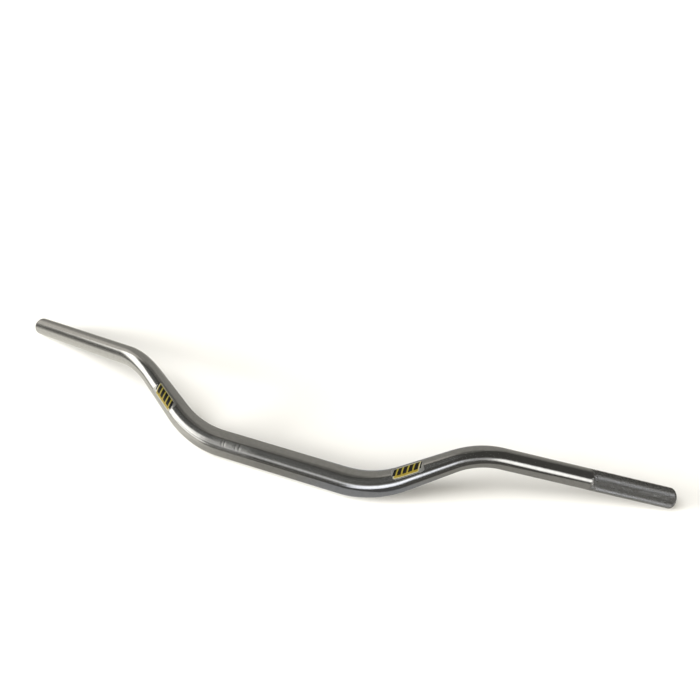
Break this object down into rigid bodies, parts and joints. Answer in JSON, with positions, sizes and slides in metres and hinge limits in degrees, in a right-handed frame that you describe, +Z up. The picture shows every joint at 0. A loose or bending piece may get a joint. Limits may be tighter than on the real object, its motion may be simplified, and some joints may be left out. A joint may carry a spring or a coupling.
{
  "type": "handlebar",
  "caption": "Tapered off-road motorcycle handlebar: bent aluminium tube with an oversize straight clamp section, rising bends and swept grips, a knurled left grip zone and riser label films.",
  "frame": {"origin": "point on the underside of the straight clamp section, straight below the middle of the clamp axis, on the plane the bar rests on; the clamp axis itself runs 14.3 mm above it along X", "axes": "+X along the clamp axis towards the rider's left grip (the knurled one), +Y the horizontal direction the risers lean and the grips sweep to, +Z up from the resting plane. The pose is the bar lying free on a flat surface on its clamp section and both grip ends. As fitted to a motorcycle it is turned about X, by about 45 degrees, until the risers point up, and the grips then sweep back to the rider"},
  "size_m": [0.8114, 0.1356, 0.066],
  "materials": {
    "bar_aluminium": "drawn and satin polished, bare; knurled on the left grip end, fine etched band on the right clamp seat",
    "decal_film": null
  },
  "bodies": {
    "root": {"bar_tube": "bar_aluminium", "riser_decal_left": "decal_film", "riser_decal_right": "decal_film"}
  },
  "joints": []
}
